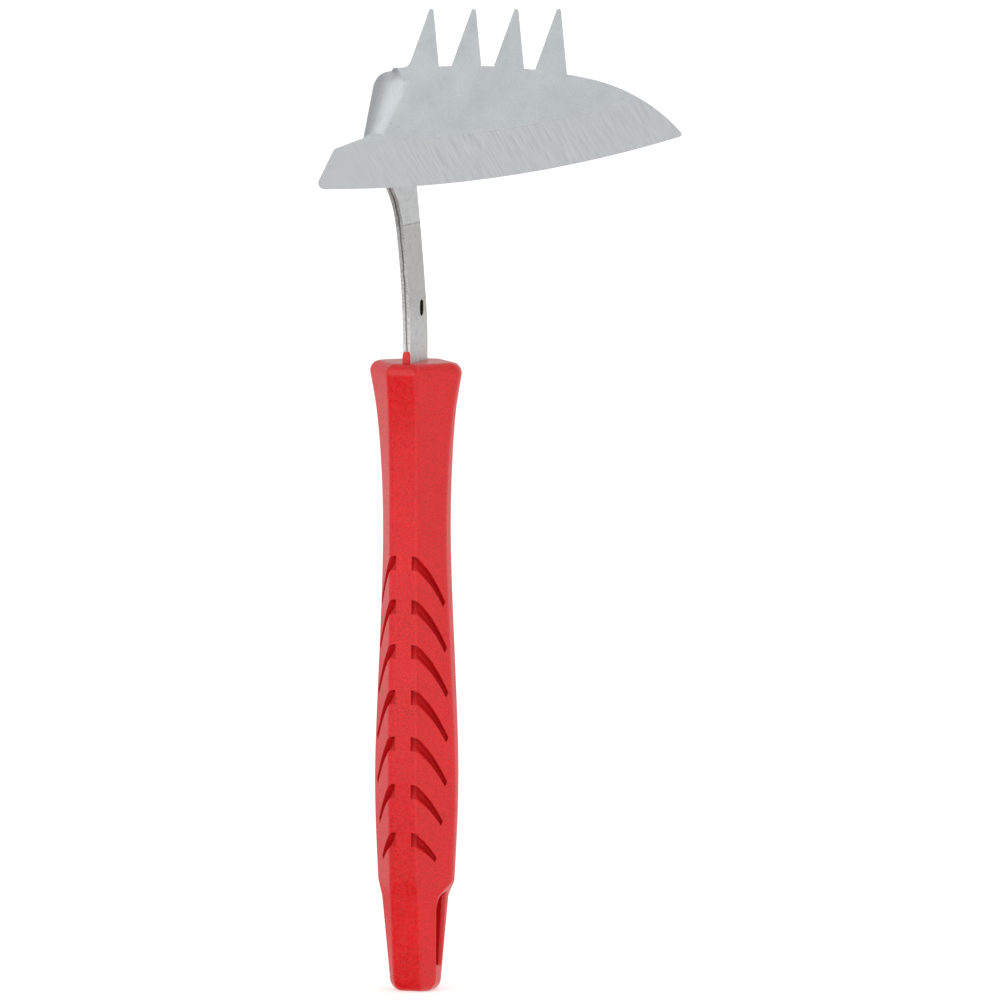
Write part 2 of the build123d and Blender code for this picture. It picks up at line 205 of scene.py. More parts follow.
def loft(name: str, rings: Sequence[np.ndarray]) -> bpy.types.Object:
    """A closed solid through rings of equal length, capped at both ends.

    Args:
        name: Name of the new object.
        rings: Closed rings of points in metres, all with the same count.

    Returns:
        The object, its normals pointing out.
    """
    bm = bmesh.new()
    rows = [[bm.verts.new(p) for p in ring] for ring in rings]
    count = len(rows[0])
    for low, high in zip(rows, rows[1:]):
        for i in range(count):
            j = (i + 1) % count
            bm.faces.new((low[i], low[j], high[j], high[i]))
    bm.faces.new(rows[0])
    bm.faces.new(rows[-1])
    bmesh.ops.recalc_face_normals(bm, faces=bm.faces)
    return solid_object(name, bm)


def cut(target: bpy.types.Object, cutters: Sequence[bpy.types.Object],
        operation: str = "DIFFERENCE") -> None:
    """Take the cutters out of a solid, or join them to it, apply that, and delete the cutters.

    Args:
        target: The solid that changes.
        cutters: Closed solids.
        operation: DIFFERENCE or UNION.
    """
    group = bpy.data.collections.new(f"{target.name}_cutters")
    bpy.context.scene.collection.children.link(group)
    for cutter in cutters:
        bpy.context.scene.collection.objects.unlink(cutter)
        group.objects.link(cutter)
    change = target.modifiers.new("cut", "BOOLEAN")
    change.operation = operation
    change.solver = "EXACT"
    change.operand_type = "COLLECTION"
    change.collection = group
    apply_modifiers(target)
    for cutter in cutters:
        bpy.data.objects.remove(cutter)
    bpy.data.collections.remove(group)


def apply_modifiers(piece: bpy.types.Object) -> None:
    """Replace a piece's mesh with what its modifiers make of it.

    Args:
        piece: The object to change.
    """
    bpy.context.view_layer.update()
    graph = bpy.context.evaluated_depsgraph_get()
    made = bpy.data.meshes.new_from_object(piece.evaluated_get(graph))
    old = piece.data
    piece.modifiers.clear()
    piece.data = made
    made.name = piece.name
    bpy.data.meshes.remove(old)


def shade(piece: bpy.types.Object, angle: float) -> None:
    """Shade smooth, but keep creases sharper than an angle, and the borders between two finishes.

    Args:
        piece: The object to shade.
        angle: Degrees between two faces that stay a crease.
    """
    mesh = piece.data
    for polygon in mesh.polygons:
        polygon.use_smooth = True
    mesh.set_sharp_from_angle(angle=math.radians(angle))
    bm = bmesh.new()
    bm.from_mesh(mesh)
    for edge in bm.edges:
        if len({f.material_index for f in edge.link_faces}) > 1 and edge.calc_face_angle(0) > FINISH_BORDER:
            edge.smooth = False
    bm.to_mesh(mesh)
    bm.free()
    even = piece.modifiers.new("even_normals", "WEIGHTED_NORMAL")
    even.mode = "FACE_AREA"
    even.keep_sharp = True
    even.weight = 80
    apply_modifiers(piece)


def add_node(tree: bpy.types.NodeTree, kind: str, inputs: dict, out: str | int = 0,
             **settings: Any) -> bpy.types.NodeSocket:
    """Add a node with its settings and links.

    Args:
        tree: The node tree that gets it.
        kind: The node's type.
        inputs: Socket name or index to a value, or to another node's output.
        out: Which output to hand back.
        **settings: Attributes of the node.

    Returns:
        The output socket asked for.
    """
    made = tree.nodes.new(kind)
    for key, value in settings.items():
        setattr(made, key, value)
    for key, value in inputs.items():
        if isinstance(value, bpy.types.NodeSocket):
            tree.links.new(value, made.inputs[key])
        else:
            made.inputs[key].default_value = value
    return made.outputs[out]


class Surface:
    """A material under construction: a principled shader and the nodes that feed it."""

    def __init__(self, name: str, **values: Any) -> None:
        """Start a material.

        Args:
            name: The material's name.
            **values: Principled sockets to set, spaces written as underscores.
        """
        self.material = bpy.data.materials.new(name)
        self.material.use_nodes = True
        self.tree = self.material.node_tree
        self.shader = self.tree.nodes["Principled BSDF"]
        for key, value in values.items():
            self.shader.inputs[key.replace("_", " ")].default_value = value
        self.place = self.add("ShaderNodeTexCoord", {}, out="Object")

    def add(self, kind: str, inputs: dict, out: str | int = 0, **settings: Any) -> bpy.types.NodeSocket:
        """Add a node to this material, as add_node does."""
        return add_node(self.tree, kind, inputs, out, **settings)

    def feed(self, socket: str, source: bpy.types.NodeSocket) -> None:
        """Link a node's output to one of the shader's sockets."""
        self.tree.links.new(source, self.shader.inputs[socket])

    def along(self, direction: Sequence[float], origin: Sequence[float]) -> bpy.types.NodeSocket:
        """Distance in metres along a direction, measured from a point of the frame."""
        moved = self.add("ShaderNodeVectorMath", {0: self.place, 1: tuple(origin)}, operation="SUBTRACT")
        return self.add("ShaderNodeVectorMath", {0: moved, 1: tuple(direction)}, out="Value",
                        operation="DOT_PRODUCT")


# ---- Finishes ---------------------------------------------------------------------------------
@dataclass(frozen=True)
class SparkErodedRedABS:
    """ABS, injection moulded in a spark-eroded cavity: a fine even pebble that scatters the light.

    The eye sees a matte red with soft broad highlights and a slight mottle, never a mirror image.
    """

    name: str = "spark_eroded_red_abs"
    colour: str = "#CB0A12"
    dark: str = "#A6070D"
    light: str = "#E81018"
    roughness: float = 0.27
    gloss: float = 0.42
    ior: float = 1.54
    grain: float = 0.36      # the real pebble is nearer 0.1 mm, too fine to show, so it is drawn coarser
    mottle: float = 1.5
    drift: float = 24.0

    def make(self) -> bpy.types.Material:
        """Build the material.

        Returns:
            The finished material.
        """
        s = Surface(self.name, Roughness=self.roughness, IOR=self.ior, Specular_IOR_Level=self.gloss)
        grain = s.add("ShaderNodeTexNoise", {"Vector": s.place, "Scale": per_mm(self.grain), "Detail": 2.0,
                                             "Roughness": 0.6})
        mottle = s.add("ShaderNodeTexNoise", {"Vector": s.place, "Scale": per_mm(self.mottle),
                                              "Detail": 4.0})
        drift = s.add("ShaderNodeTexNoise", {"Vector": s.place, "Scale": per_mm(self.drift), "Detail": 2.0})
        speckled = s.add("ShaderNodeMix",
                         {0: s.add("ShaderNodeMapRange", {0: grain, 1: 0.34, 2: 0.66}, **EASED),
                          6: linear(self.dark), 7: linear(self.light)}, 2, data_type="RGBA")
        cloudy = s.add("ShaderNodeMix",
                       {0: s.add("ShaderNodeMapRange", {0: mottle, 1: 0.3, 2: 0.7, 3: 0.1, 4: 0.5},
                                 **EASED), 6: speckled, 7: linear(self.colour)}, 2, data_type="RGBA")
        worn = s.add("ShaderNodeMix",
                     {0: s.add("ShaderNodeMapRange", {0: drift, 1: 0.45, 2: 0.75, 3: 0.0, 4: 0.25},
                               **EASED), 6: cloudy, 7: linear(self.light)}, 2, data_type="RGBA")
        s.feed("Base Color", worn)
        s.feed("Roughness",
               s.add("ShaderNodeMapRange", {0: mottle, 1: 0.3, 2: 0.7, 3: self.roughness - 0.05,
                                            4: self.roughness + 0.06}, **EASED))
        s.feed("Normal", s.add("ShaderNodeBump", {"Strength": 0.8, "Distance": 0.06 * MM,
                                                  "Height": grain}))
        return s.material


@dataclass(frozen=True)
class ColdRolledSheet:
    """Cold-rolled steel, tumbled after pressing: a dull, finely pitted skin with faint clouds.

    It mirrors nothing sharply, so it reads as an even blue-grey that only changes with its angle.
    """

    name: str
    colour: str
    dark: str
    roughness: float = 0.46
    grain: float = 0.34       # real pits are about 0.05 mm; drawn coarser so that they show
    cloud: float = 9.0
    pit: str = "#7E8487"
    pit_spacing: float = 6.5

    def make(self, blade: "BladeFrame") -> bpy.types.Material:
        """Build the material.

        Args:
            blade: The blade's own directions.

        Returns:
            The finished material.
        """
        s = Surface(self.name, Metallic=1.0, Roughness=self.roughness)
        self.dress(s, blade)
        return s.material

    def dress(self, s: Surface, blade: "BladeFrame") -> None:
        """Add colour, grain and dullness to a surface.

        Args:
            s: The surface to dress.
            blade: The blade's own directions.
        """
        grain = s.add("ShaderNodeTexNoise", {"Vector": s.place, "Scale": per_mm(self.grain), "Detail": 3.0,
                                             "Roughness": 0.65})
        cloud = s.add("ShaderNodeTexNoise", {"Vector": s.place, "Scale": per_mm(self.cloud),
                                             "Detail": 5.0, "Roughness": 0.6})
        base = s.add("ShaderNodeMix",
                     {0: s.add("ShaderNodeMapRange", {0: grain, 1: 0.25, 2: 0.62}, **EASED),
                      6: linear(self.dark), 7: linear(self.colour)}, 2, data_type="RGBA")
        base = s.add("ShaderNodeMix",
                     {0: s.add("ShaderNodeMapRange", {0: cloud, 1: 0.54, 2: 0.74, 3: 0.0, 4: 0.25},
                               **EASED), 6: base, 7: linear(self.dark)}, 2, data_type="RGBA")
        pits = s.add("ShaderNodeTexVoronoi", {"Vector": s.place, "Scale": per_mm(self.pit_spacing)})
        picked = s.add("ShaderNodeTexWhiteNoise",
                       {"Vector": s.add("ShaderNodeTexVoronoi",
                                        {"Vector": s.place, "Scale": per_mm(self.pit_spacing)},
                                        out="Position")})
        pit = s.add("ShaderNodeMath",
                    {0: s.add("ShaderNodeMapRange", {0: pits, 1: 0.02, 2: 0.05, 3: 1.0, 4: 0.0}, **EASED),
                     1: s.add("ShaderNodeMapRange", {0: picked, 1: 0.72, 2: 0.8}, **EASED)},
                    operation="MULTIPLY")
        base = s.add("ShaderNodeMix", {0: s.add("ShaderNodeMath", {0: pit, 1: 0.6}, operation="MULTIPLY"),
                                       6: base, 7: linear(self.pit)}, 2, data_type="RGBA")
        s.feed("Base Color", base)
        s.feed("Roughness", s.add("ShaderNodeMapRange", {0: cloud, 1: 0.3, 2: 0.7, 3: self.roughness - 0.04,
                                                         4: self.roughness + 0.07}, **EASED))
        s.feed("Normal", s.add("ShaderNodeBump", {"Strength": 0.4, "Distance": 0.02 * MM,
                                                  "Height": grain}))


@dataclass(frozen=True)
class ClampMarkedNeck(ColdRolledSheet):
    """The pressed neck: warmer than the blade, with the clamp's bruise and brown rims of old oil.

    The bruise is a thin dark line across the flat, with a brighter, rubbed field above it.
    """

    bruise: str = "#6F665C"
    shade: str = "#AFADAA"
    oil: str = "#A58E6C"
    bruise_drop: float = 9.7        # how far the clamp's line lies below the blade's level
    rim_reach: Point = (1.35, 2.0)  # where the oil round the pilot hole starts to fade, and ends
    hole_squeeze: float = 0.6       # weight of height beside width round the hole, which is oblong

    def dress(self, s: Surface, blade: "BladeFrame") -> None:
        """Add the sheet's look, then the marks.

        Args:
            s: The surface to dress.
            blade: The blade's own directions.
        """
        grain = s.add("ShaderNodeTexNoise", {"Vector": s.place, "Scale": per_mm(self.grain), "Detail": 3.0,
                                             "Roughness": 0.65})
        patch = s.add("ShaderNodeTexNoise", {"Vector": s.place, "Scale": per_mm(1.9), "Detail": 5.0,
                                             "Roughness": 0.65})
        level = s.along((0, 0, 1), (0, 0, blade.rise))
        wander = s.add("ShaderNodeMath",
                       {0: s.add("ShaderNodeMath", {0: patch, 1: 0.5}, operation="SUBTRACT"), 1: 0.5 * MM},
                       operation="MULTIPLY")
        from_line = s.add("ShaderNodeMath",
                          {0: s.add("ShaderNodeMath", {0: level, 1: self.bruise_drop * MM},
                                    operation="ADD"), 1: wander}, operation="ADD")
        on_neck = s.add("ShaderNodeMapRange",
                        {0: s.along(blade.normal, blade.origin), 1: -6 * MM, 2: -8 * MM}, **EASED)
        line = s.add("ShaderNodeMapRange",
                     {0: s.add("ShaderNodeMath", {0: from_line, 1: 0.0}, operation="ABSOLUTE"), 1: 0.1 * MM,
                      2: 0.4 * MM, 3: 0.5, 4: 0.0}, **EASED)
        line = s.add("ShaderNodeMath",
                     {0: line, 1: s.add("ShaderNodeMapRange", {0: patch, 1: 0.35, 2: 0.5, 3: 0.35, 4: 1.0},
                                        **EASED)}, operation="MULTIPLY")
        below = s.add("ShaderNodeMapRange", {0: from_line, 1: 0.3 * MM, 2: -1.2 * MM, 3: 0.0, 4: 0.55},
                      **EASED)
        below = s.add("ShaderNodeMath", {0: below, 1: s.add("ShaderNodeMapRange",
                                                            {0: from_line, 1: -34 * MM, 2: -24 * MM, 3: 0.2,
                                                             4: 1.0}, **EASED)}, operation="MULTIPLY")
        base = s.add("ShaderNodeMix",
                     {0: s.add("ShaderNodeMapRange", {0: grain, 1: 0.25, 2: 0.62}, **EASED),
                      6: linear(self.dark), 7: linear(self.colour)}, 2, data_type="RGBA")
        base = s.add("ShaderNodeMix",
                     {0: s.add("ShaderNodeMapRange", {0: patch, 1: 0.52, 2: 0.7, 3: 0.0, 4: 0.55}, **EASED),
                      6: base, 7: linear(self.shade)}, 2, data_type="RGBA")
        base = s.add("ShaderNodeMix",
                     {0: s.add("ShaderNodeMath", {0: below, 1: on_neck}, operation="MULTIPLY"), 6: base,
                      7: linear(self.shade)}, 2, data_type="RGBA")
        base = s.add("ShaderNodeMix",
                     {0: s.add("ShaderNodeMath", {0: line, 1: on_neck}, operation="MULTIPLY"), 6: base,
                      7: linear(self.bruise)}, 2, data_type="RGBA")
        y = s.add("ShaderNodeMath", {0: s.along((0, 1, 0), (0, 0, 0)), 1: PILOT_HOLE[0] * MM},
                  operation="SUBTRACT")
        z = s.add("ShaderNodeMath", {0: level, 1: PILOT_HOLE[1] * MM}, operation="SUBTRACT")
        z = s.add("ShaderNodeMath", {0: z, 1: self.hole_squeeze}, operation="MULTIPLY")
        away = s.add("ShaderNodeMath",
                     {0: s.add("ShaderNodeMath",
                               {0: s.add("ShaderNodeMath", {0: y, 1: y}, operation="MULTIPLY"),
                                1: s.add("ShaderNodeMath", {0: z, 1: z}, operation="MULTIPLY")},
                               operation="ADD")}, operation="SQRT")
        rim = s.add("ShaderNodeMapRange", {0: away, 1: self.rim_reach[0] * MM, 2: self.rim_reach[1] * MM,
                                           3: 0.85, 4: 0.0}, **EASED)
        oily = s.add("ShaderNodeMath",
                     {0: s.add("ShaderNodeMapRange", {0: y, 1: 3.2 * MM, 2: 5.2 * MM, 3: 0.0, 4: 0.4},
                               **EASED), 1: on_neck}, operation="MULTIPLY")
        base = s.add("ShaderNodeMix", {0: s.add("ShaderNodeMath", {0: rim, 1: oily}, operation="MAXIMUM"),
                                       6: base, 7: linear(self.oil)}, 2, data_type="RGBA")
        s.feed("Base Color", base)
        s.feed("Roughness", s.add("ShaderNodeMapRange", {0: patch, 1: 0.3, 2: 0.7, 3: self.roughness - 0.06,
                                                         4: self.roughness + 0.08}, **EASED))
        s.feed("Normal", s.add("ShaderNodeBump", {"Strength": 0.5, "Distance": 0.03 * MM,
                                                  "Height": grain}))


@dataclass(frozen=True)
class BeltGroundBevel:
    """The blade's bevel, ground on a coarse belt: slanting parallel scratches, brighter than the sheet.

    The scratches fade towards the heel and the tip, where the belt ran out.
    """

    name: str = "belt_ground_bevel"
    colour: str = "#CED2D5"
    dark: str = "#C1C5C8"
    roughness: float = 0.48
    pitch: float = 0.55       # real scratches are about 0.1 mm apart; drawn coarser so that they show
    run: float = 9.0
    slant: float = 60.0       # degrees that the scratches fall towards the tip

    def make(self, blade: "BladeFrame") -> bpy.types.Material:
        """Build the material.

        Args:
            blade: The blade's own directions.

        Returns:
            The finished material.
        """
        s = Surface(self.name, Metallic=1.0, Roughness=self.roughness)
        lean = math.radians(self.slant)
        across = blade.across * math.sin(lean) + blade.up * math.cos(lean)
        down = blade.across * math.cos(lean) - blade.up * math.sin(lean)
        a = s.add("ShaderNodeMath", {0: s.along(across, blade.origin), 1: per_mm(self.pitch)},
                  operation="MULTIPLY")
        b = s.add("ShaderNodeMath", {0: s.along(down, blade.origin), 1: per_mm(self.run)},
                  operation="MULTIPLY")
        flat = s.add("ShaderNodeCombineXYZ", {"X": a, "Y": b, "Z": 0.0})
        lines = s.add("ShaderNodeTexNoise", {"Vector": flat, "Scale": 1.0, "Detail": 3.0, "Roughness": 0.7})
        wide = s.add("ShaderNodeTexNoise", {"Vector": s.place, "Scale": per_mm(22.0), "Detail": 2.0})
        u = s.along(blade.across, blade.origin)
        strength = s.add("ShaderNodeMath",
                         {0: s.add("ShaderNodeMapRange", {0: u, 1: -22 * MM, 2: 8 * MM}, **EASED),
                          1: s.add("ShaderNodeMapRange", {0: u, 1: 84 * MM, 2: 70 * MM, 3: 0.3, 4: 1},
                                   **EASED)}, operation="MULTIPLY")
        strength = s.add("ShaderNodeMath", {0: strength, 1: s.add("ShaderNodeMapRange",
                                                                  {0: wide, 1: 0.25, 2: 0.6, 3: 0.45,
                                                                   4: 1.0}, **EASED)}, operation="MULTIPLY")
        lined = s.add("ShaderNodeMix",
                      {0: s.add("ShaderNodeMapRange", {0: lines, 1: 0.35, 2: 0.7}, **EASED),
                       6: linear(self.colour), 7: linear(self.dark)}, 2, data_type="RGBA")
        plain = s.add("ShaderNodeMix", {0: 0.4, 6: linear(self.colour), 7: linear(self.dark)}, 2,
                      data_type="RGBA")
        s.feed("Base Color", s.add("ShaderNodeMix", {0: strength, 6: plain, 7: lined}, 2, data_type="RGBA"))
        s.feed("Roughness", s.add("ShaderNodeMapRange", {0: lines, 1: 0.3, 2: 0.7, 3: self.roughness - 0.06,
                                                         4: self.roughness + 0.1}, **EASED))
        height = s.add("ShaderNodeMath", {0: lines, 1: strength}, operation="MULTIPLY")
        s.feed("Normal", s.add("ShaderNodeBump", {"Strength": 0.4, "Distance": 0.012 * MM,
                                                  "Height": height}))
        return s.material


@dataclass(frozen=True)
class GrindScale:
    """The line where the grinding ends: brown mill scale left in dashes along a tiny step."""

    name: str = "grind_line_scale"
    colour: str = "#C6CACB"
    scale: str = "#6E5D50"
    dash: float = 2.4
    roughness: float = 0.5

    def make(self, blade: "BladeFrame") -> bpy.types.Material:
        """Build the material.

        Args:
            blade: The blade's own directions.

        Returns:
            The finished material.
        """
        s = Surface(self.name, Metallic=0.9, Roughness=self.roughness)
        u = s.along(blade.across, blade.origin)
        dashes = s.add("ShaderNodeTexNoise", {"Vector": s.place, "Scale": per_mm(self.dash), "Detail": 3.0,
                                              "Roughness": 0.6})
        held = s.add("ShaderNodeMath",
                     {0: s.add("ShaderNodeMapRange", {0: u, 1: 4 * MM, 2: 14 * MM, 3: 0.25, 4: 1.0},
                               **EASED), 1: s.add("ShaderNodeMapRange",
                                                  {0: u, 1: 46 * MM, 2: 58 * MM, 3: 1.0, 4: 0.3}, **EASED)},
                     operation="MULTIPLY")
        s.feed("Base Color",
               s.add("ShaderNodeMix",
                     {0: s.add("ShaderNodeMath",
                               {0: held, 1: s.add("ShaderNodeMapRange", {0: dashes, 1: 0.38, 2: 0.52},
                                                  **EASED)}, operation="MULTIPLY"), 6: linear(self.colour),
                      7: linear(self.scale)}, 2, data_type="RGBA"))
        s.feed("Normal", s.add("ShaderNodeBump", {"Strength": 0.5, "Distance": 0.03 * MM,
                                                  "Height": dashes}))
        return s.material


@dataclass(frozen=True)
class ShearedSteelEdge:
    """The sheet's sheared edge: a burnished band and a torn band, with a dark line between them."""

    name: str = "sheared_steel_edge"
    colour: str = "#FAFAFB"
    dark: str = "#C6C5C5"
    line: str = "#5F5A56"
    roughness: float = 0.6
    streak: float = 0.5

    def make(self, blade: "BladeFrame") -> bpy.types.Material:
        """Build the material.

        Args:
            blade: The blade's own directions.

        Returns:
            The finished material.
        """
        s = Surface(self.name, Metallic=1.0, Roughness=self.roughness)
        specks = s.add("ShaderNodeTexNoise", {"Vector": s.place, "Scale": per_mm(self.streak),
                                              "Detail": 4.0, "Roughness": 0.7})
        wander = s.add("ShaderNodeTexNoise", {"Vector": s.place, "Scale": per_mm(5.0), "Detail": 2.0})
        x = s.along((1, 0, 0), (0, 0, 0))
        drift = s.add("ShaderNodeMath", {0: s.add("ShaderNodeMath", {0: wander, 1: 0.5},
                                                  operation="SUBTRACT"), 1: 0.7 * MM}, operation="MULTIPLY")
        off = s.add("ShaderNodeMath", {0: s.add("ShaderNodeMath", {0: x, 1: drift}, operation="ADD")},
                    operation="ABSOLUTE")
        neck = s.add("ShaderNodeMapRange", {0: s.along(blade.normal, blade.origin), 1: -4 * MM, 2: -3 * MM,
                                            3: 1.0, 4: 0.0}, **EASED)
        line = s.add("ShaderNodeMath",
                     {0: s.add("ShaderNodeMapRange", {0: off, 1: 0.12 * MM, 2: 0.34 * MM, 3: 0.75, 4: 0.0},
                               **EASED), 1: neck}, operation="MULTIPLY")
        base = s.add("ShaderNodeMix", {0: s.add("ShaderNodeMapRange", {0: specks, 1: 0.3, 2: 0.6}, **EASED),
                                       6: linear(self.dark), 7: linear(self.colour)}, 2, data_type="RGBA")
        s.feed("Base Color",
               s.add("ShaderNodeMix", {0: line, 6: base, 7: linear(self.line)}, 2, data_type="RGBA"))
        s.feed("Roughness", s.add("ShaderNodeMapRange", {0: specks, 1: 0.3, 2: 0.7, 3: self.roughness - 0.1,
                                                         4: self.roughness + 0.12}, **EASED))
        s.feed("Normal", s.add("ShaderNodeBump", {"Strength": 0.7, "Distance": 0.04 * MM,
                                                  "Height": specks}))
        return s.material


@dataclass(frozen=True)
class PaleStudioPaper:
    """Matte white background paper: no gloss, only a very soft shadow where the tool stands."""

    name: str = "pale_studio_paper"
    colour: str = "#F7F7F6"
    fibre: float = 2.5
    glow: float = 0.35        # the paper is lit from below as well, which washes the tool's shadow out

    def make(self) -> bpy.types.Material:
        """Build the material.

        Returns:
            The finished material.
        """
        s = Surface(self.name, Roughness=0.95)
        s.shader.inputs["Specular IOR Level"].default_value = 0.1
        s.shader.inputs["Emission Color"].default_value = linear("#FFFFFF")
        s.shader.inputs["Emission Strength"].default_value = self.glow
        fibre = s.add("ShaderNodeTexNoise", {"Vector": s.place, "Scale": per_mm(self.fibre), "Detail": 3.0})
        s.feed("Base Color",
               s.add("ShaderNodeMix", {0: s.add("ShaderNodeMapRange", {0: fibre, 1: 0.4, 2: 0.8}, **EASED),
                                       6: linear(self.colour), 7: linear("#F2F2F1")}, 2, data_type="RGBA"))
        return s.material


# ---- Steel head -------------------------------------------------------------------------------
@dataclass(frozen=True)
class BladeFrame:
    """The blade's own directions, for finishes and for sorting the head's faces."""

    origin: Vector
    across: Vector
    up: Vector
    normal: Vector
    rise: float

    def hole_place(self, point: Vector) -> Point:
        """Millimetres from the pilot hole's middle, in Y and in height."""
        return point.y / MM - PILOT_HOLE[0], (point.z - self.rise) / MM - PILOT_HOLE[1]

    @classmethod
    def from_record(cls, record: dict, rise: float) -> "BladeFrame":
        """Read the blade's plane from the record's flat face.

        Args:
            record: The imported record.
            rise: Height in metres where the blade's own axes start, on the handle's axis.

        Returns:
            The frame, its origin where the axis point drops square onto the blade's face.
        """
        face = next(m for m in record["mounts"] if m["name"] == "blade_face")
        normal = Vector(face["axis"]).normalized()
        across = Vector((-normal.y, normal.x, 0)).normalized()
        up = normal.cross(across)
        on_axis = Vector((0, 0, rise))
        origin = on_axis + normal * (Vector(face["pos_m"]) - on_axis).dot(normal)
        return cls(origin, across, up, normal, rise)


@dataclass
class SteelHead:
    """Blade, bend, neck and tang: one sheet, shown with softened edges and a finish for each zone."""

    blade: BladeFrame
    edge_round: float = 0.11
    crease: float = 28.0
    flat_limit: float = 0.35
    bend_left: float = -7.6     # left of this, above the heel, the sheet belongs to the bend
    heel_top: float = 17.9
    sheet: float = 2.5
    slope: float = 0.08
    rolled: ColdRolledSheet = ColdRolledSheet("cold_rolled_blade", "#BFC4C8", "#B0B6BB")
    formed: ClampMarkedNeck = ClampMarkedNeck("clamp_marked_neck", "#CACCCE", "#BDBEC0", roughness=0.5)
    ground: BeltGroundBevel = field(default_factory=BeltGroundBevel)
    sheared: ShearedSteelEdge = field(default_factory=ShearedSteelEdge)
    scale: GrindScale = field(default_factory=GrindScale)
    # The pilot hole's walls: near-black brown painted in as the shade inside the hole.
    punched: ColdRolledSheet = ColdRolledSheet("punched_hole_painted_shade", "#3C342E", "#211C18", roughness=0.6)
    shade_angle: float = 24.0
    bend_levels: Point = (34.1, 39.6)
    bend_radii: Point = (11.4, 8.3)
    bend_ease: Point = (35.0, 20.0)     # degrees over which the correction comes in and goes out
    scale_half: float = 0.13

    def build(self) -> bpy.types.Object:
        """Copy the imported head, soften its edges and sort its faces into zones.

        Returns:
            The head, without materials.
        """
        bm = bmesh.new()
        bm.from_mesh(frame["nodes"]["steel_head"].data)
        bmesh.ops.remove_doubles(bm, verts=bm.verts, dist=0.002 * MM)
        bmesh.ops.dissolve_limit(bm, angle_limit=math.radians(self.flat_limit), verts=bm.verts,
                                 edges=bm.edges, delimit={"NORMAL"})
        self.fill_out_bend(bm)
        sharp = [e for e in bm.edges
                 if len(e.link_faces) == 2 and e.calc_face_angle(0) > math.radians(self.crease)]
        bmesh.ops.bevel(bm, geom=sharp, offset=self.edge_round * MM, offset_type="OFFSET", segments=2,
                        profile=0.5, affect="EDGES", clamp_overlap=False)
        piece = solid_object("head_of_pressed_sheet", bm)
        for polygon in piece.data.polygons:
            polygon.material_index = self.zone(polygon).value
        self.draw_scale_line(piece)
        shade(piece, self.shade_angle)
        return piece

    def fill_out_bend(self, bm: bmesh.types.BMesh) -> None:
        """Keep the bend as round as at its widest up to the trimmed corner, where the solid's narrows.

        Args:
            bm: The head's mesh, which is changed.
        """
        blade = self.blade
        fold = Vector((1, 0, 0)).cross(blade.normal).normalized()
        fold = fold if fold.z > 0 else -fold
        across = fold.cross(blade.normal)
        across = across if across.x > 0 else -across
        turn = 180 - math.degrees(math.asin(blade.normal.cross(Vector((1, 0, 0))).length))
        tangent = math.tan(math.radians(turn / 2))
        ends = []
        for level in self.bend_levels:
            base = blade.origin + blade.up * level * MM
            ends.append(base + blade.across * ((-self.sheet / 2 * MM - base.x) / blade.across.x))
        span = (ends[1] - ends[0]).dot(fold)
        for vert in bm.verts:
            off = vert.co - ends[0]
            share = off.dot(fold) / span
            if not 0 < share < 1.1:
                continue
            a, w = off.dot(across) / MM, off.dot(blade.normal) / MM
            radius = self.bend_radii[0] + (self.bend_radii[1] - self.bend_radii[0]) * share
            side, out = radius * tangent - a, w + radius
            reach, angle = math.hypot(side, out), math.degrees(math.atan2(side, out))
            if not (radius - self.sheet - 0.3 < reach < radius + 0.3 and 0 < angle < turn):
                continue
            grown = self.bend_radii[0] - radius
            new_a = self.bend_radii[0] * tangent - (reach + grown) * math.sin(math.radians(angle))
            new_w = (reach + grown) * math.cos(math.radians(angle)) - self.bend_radii[0]
            ease = min(angle / self.bend_ease[0], 1) * min((turn - angle) / self.bend_ease[1], 1)
            vert.co += (across * (new_a - a) + blade.normal * (new_w - w)) * ease * MM

    def draw_scale_line(self, piece: bpy.types.Object) -> None:
        """Split off a narrow strip along the line where the grinding ends.

        Args:
            piece: The head, whose mesh is changed.
        """
        bm = bmesh.new()
        bm.from_mesh(piece.data)
        border = {SteelZone.GROUND.value, SteelZone.ROLLED.value}
        edges = [e for e in bm.edges if {f.material_index for f in e.link_faces} == border]
        bmesh.ops.bevel(bm, geom=edges, offset=self.scale_half * MM, offset_type="OFFSET", segments=1,
                        profile=0.5, affect="EDGES", clamp_overlap=True, material=SteelZone.SCALE.value)
        bm.to_mesh(piece.data)
        bm.free()

    def zone(self, polygon: bpy.types.MeshPolygon) -> SteelZone:
        """Which finish a face has, from where it lies and which way it faces.

        Args:
            polygon: A face of the head.

        Returns:
            The zone it belongs to.
        """
        at = polygon.center - self.blade.origin
        u, v, w = (at.dot(d) / MM for d in (self.blade.across, self.blade.up, self.blade.normal))
        normal = polygon.normal
        facing = normal.dot(self.blade.normal)
        fold = Vector((1, 0, 0)).cross(self.blade.normal).normalized()
        y, level = self.blade.hole_place(polygon.center)
        in_hole = abs(y) < PILOT_HOLE_REACH[0] and abs(level) < PILOT_HOLE_REACH[1]
        if in_hole and abs(normal.x) < 0.9:
            return SteelZone.PUNCHED
        if -self.sheet - 0.2 < w < 0.2 and (u > self.bend_left or v < self.heel_top):
            if facing > 0.97 and normal.dot(self.blade.up) < -self.slope:
                return SteelZone.GROUND
            in_bend = u < 0.5 and v > self.heel_top - 1.6 and abs(normal.dot(fold)) < 0.8
            return SteelZone.ROLLED if abs(facing) > 0.9 or in_bend else SteelZone.SHEARED
        if v > self.heel_top - 1.6 and w > -16:
            return SteelZone.ROLLED if abs(normal.dot(fold)) < 0.8 else SteelZone.SHEARED
        return SteelZone.FORMED if abs(normal.x) > 0.7 else SteelZone.SHEARED

